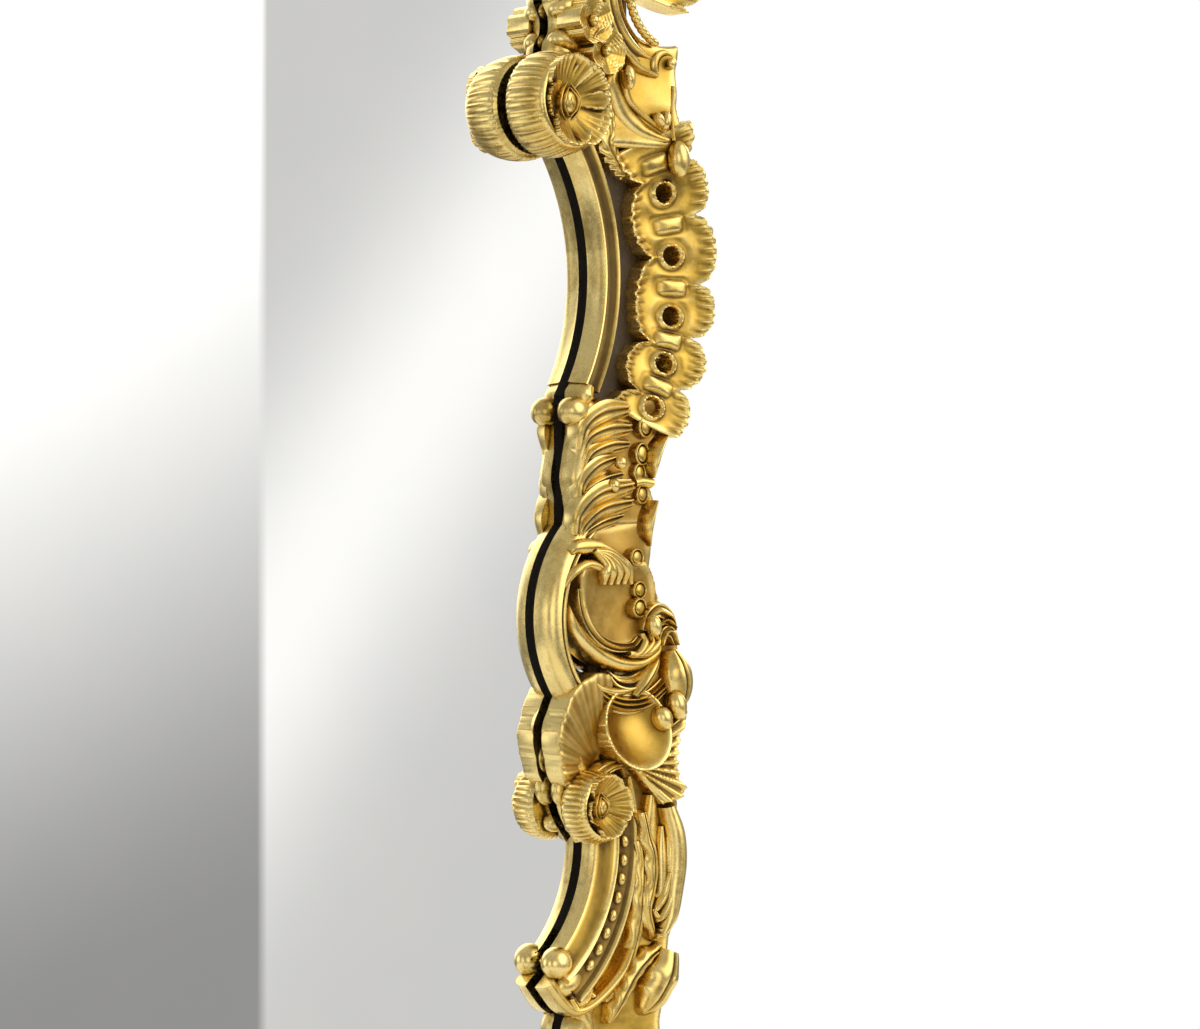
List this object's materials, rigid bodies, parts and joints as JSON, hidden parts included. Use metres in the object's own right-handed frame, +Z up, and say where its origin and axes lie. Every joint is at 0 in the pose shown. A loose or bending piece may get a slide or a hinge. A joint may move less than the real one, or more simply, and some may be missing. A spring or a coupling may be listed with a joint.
{
  "type": "floor mirror",
  "caption": "Full-length floor mirror in a carved, pierced and gilded scrollwork frame, leaning back on a folding timber strut with a webbing stay.",
  "frame": {"origin": "on the floor, at the middle of the mirror's footprint, half-way between its carved front and the strut's foot", "axes": "+Z up, -Y towards the person who looks into the mirror, +X to that person's right"},
  "size_m": [1.0112, 0.5425, 1.9834],
  "materials": {
    "gilt_carving": "water gilding over carved wood, burnished on the high points",
    "gilt_ground": "darkened gilding in the recesses, matt",
    "silvered_glass": "silvered glass with a bevelled edge",
    "black_liner": "black painted rebate strip, matt",
    "backing_board": "bare fibreboard",
    "softwood": "bare softwood",
    "core_timber": "bare timber",
    "strut_timber": "oiled timber",
    "foot_rubber": "matt black",
    "steel": "zinc plated",
    "brass_fittings": "satin",
    "webbing": "woven cotton webbing"
  },
  "bodies": {
    "frame": {"core_left_stile": "core_timber", "core_right_stile": "core_timber", "core_top_rail": "core_timber", "core_bottom_rail": "core_timber", "core_hinge_rail": "core_timber", "mirror_plate": "silvered_glass", "sight_liner": "black_liner", "backing_board": "backing_board", "back_fillets": "softwood", "right_ground": "gilt_ground", "left_ground": "gilt_ground", "top_ground": "gilt_ground", "bottom_ground": "gilt_ground", "right_upper_moulding": "gilt_carving", "left_upper_moulding": "gilt_carving", "right_upper_border": "gilt_carving", "left_upper_border": "gilt_carving", "right_shoulder_scroll": "gilt_carving", "left_shoulder_scroll": "gilt_carving", "right_acanthus": "gilt_carving", "left_acanthus": "gilt_carving", "right_c_scroll": "gilt_carving", "left_c_scroll": "gilt_carving", "right_swirl_leaves": "gilt_carving", "left_swirl_leaves": "gilt_carving", "right_shell_cluster": "gilt_carving", "left_shell_cluster": "gilt_carving", "right_lower_moulding": "gilt_carving", "left_lower_moulding": "gilt_carving", "right_lower_border": "gilt_carving", "left_lower_border": "gilt_carving", "upper_rosettes": "gilt_carving", "rosebuds": "gilt_carving", "back_hardware": "steel", "top_right_corner": "gilt_carving", "top_left_corner": "gilt_carving", "bottom_right_corner": "gilt_carving", "bottom_left_corner": "gilt_carving", "crest_shell": "gilt_carving", "crest_right_scroll": "gilt_carving", "crest_left_scroll": "gilt_carving", "apron_shell": "gilt_carving", "apron_right_scroll": "gilt_carving", "apron_left_scroll": "gilt_carving", "front_feet": "foot_rubber", "hinge_fixed_leaves": "steel", "hinge_pins": "steel", "strap_frame_anchor": "brass_fittings", "stay_strap": "webbing"},
    "strut": {"hinge_moving_leaves": "steel", "strut_left_leg": "strut_timber", "strut_right_leg": "strut_timber", "strut_top_rail": "strut_timber", "strut_low_rail": "strut_timber", "strut_feet": "foot_rubber", "strap_strut_anchor": "brass_fittings"},
    "turn_button_1": {"turn_button_1": "steel"},
    "turn_button_2": {"turn_button_2": "steel"},
    "turn_button_3": {"turn_button_3": "steel"},
    "turn_button_4": {"turn_button_4": "steel"}
  },
  "joints": [
    {"name": "strut_fold", "type": "hinge", "parent": "frame", "child": "strut", "pos_m": [0, 0.01798, 1.35509], "axis": [1, 0, 0], "range_deg": [-17.5, 0], "deforming": ["stay_strap"]},
    {"name": "turn_button_1_swivel", "type": "hinge", "parent": "frame", "child": "turn_button_1", "pos_m": [0.429, -0.12492, 0.51076], "axis": [0, 0.9903, -0.1392], "range_deg": [-90, 90]},
    {"name": "turn_button_2_swivel", "type": "hinge", "parent": "frame", "child": "turn_button_2", "pos_m": [0.429, -0.03307, 1.16434], "axis": [0, 0.9903, -0.1392], "range_deg": [-90, 90]},
    {"name": "turn_button_3_swivel", "type": "hinge", "parent": "frame", "child": "turn_button_3", "pos_m": [-0.429, -0.12492, 0.51076], "axis": [0, 0.9903, -0.1392], "range_deg": [-90, 90]},
    {"name": "turn_button_4_swivel", "type": "hinge", "parent": "frame", "child": "turn_button_4", "pos_m": [-0.429, -0.03307, 1.16434], "axis": [0, 0.9903, -0.1392], "range_deg": [-90, 90]}
  ]
}
